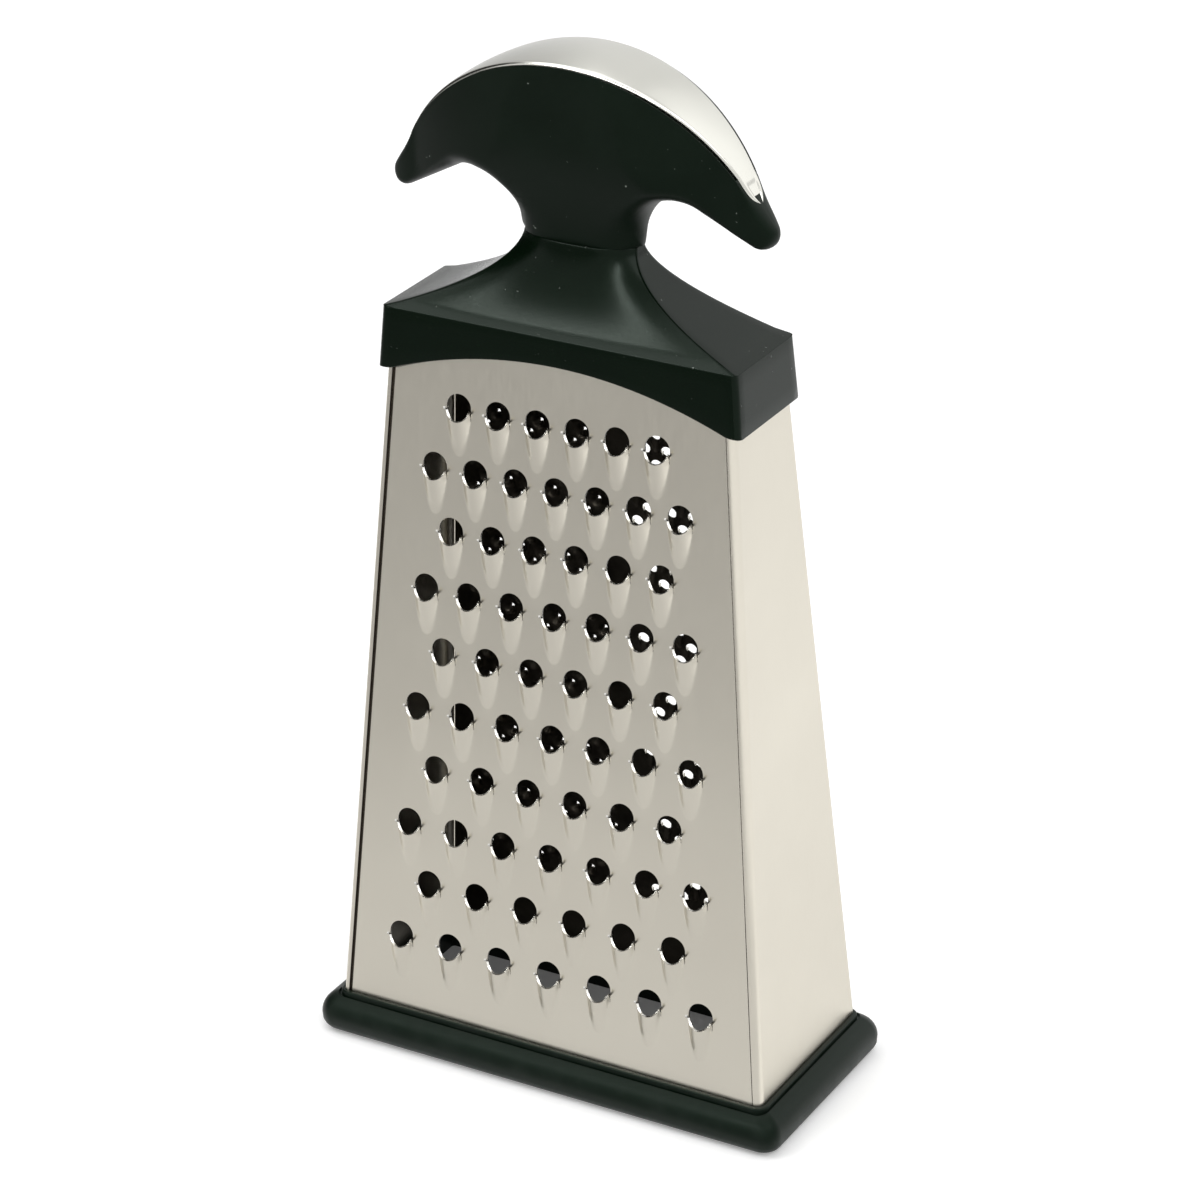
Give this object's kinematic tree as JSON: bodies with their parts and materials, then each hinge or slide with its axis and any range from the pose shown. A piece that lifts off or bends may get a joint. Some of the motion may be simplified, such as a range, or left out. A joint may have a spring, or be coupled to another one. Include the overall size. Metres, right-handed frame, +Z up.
{
  "type": "box grater",
  "caption": "Tapered four-sided kitchen grater in sheet steel with a rubber foot, flared plastic cap and an anchor-shaped soft grip with a polished inlay",
  "frame": {"origin": "centre of the foot ring on the surface the grater stands on", "axes": "+Z up, -Y out of the coarse face, +X to the right when facing the coarse face"},
  "size_m": [0.127, 0.0588, 0.2543],
  "materials": {
    "steel": "satin stainless sheet",
    "foot_rubber": "smooth moulded",
    "cap_plastic": "fine grain moulded",
    "inner_plastic": "plain moulded",
    "screw_steel": "plain",
    "grip_rubber": "soft touch matt",
    "polished_trim": "mirror polished"
  },
  "bodies": {
    "root": {"front_panel": "steel", "back_panel": "steel", "right_side_panel": "steel", "left_side_panel": "steel", "foot_ring": "foot_rubber", "top_cap": "cap_plastic", "clamp_frame": "inner_plastic", "clamp_screws": "screw_steel", "handle_core": "inner_plastic", "handle_grip": "grip_rubber", "handle_trim": "polished_trim", "handle_screw": "screw_steel", "handle_washer": "screw_steel"}
  },
  "joints": []
}
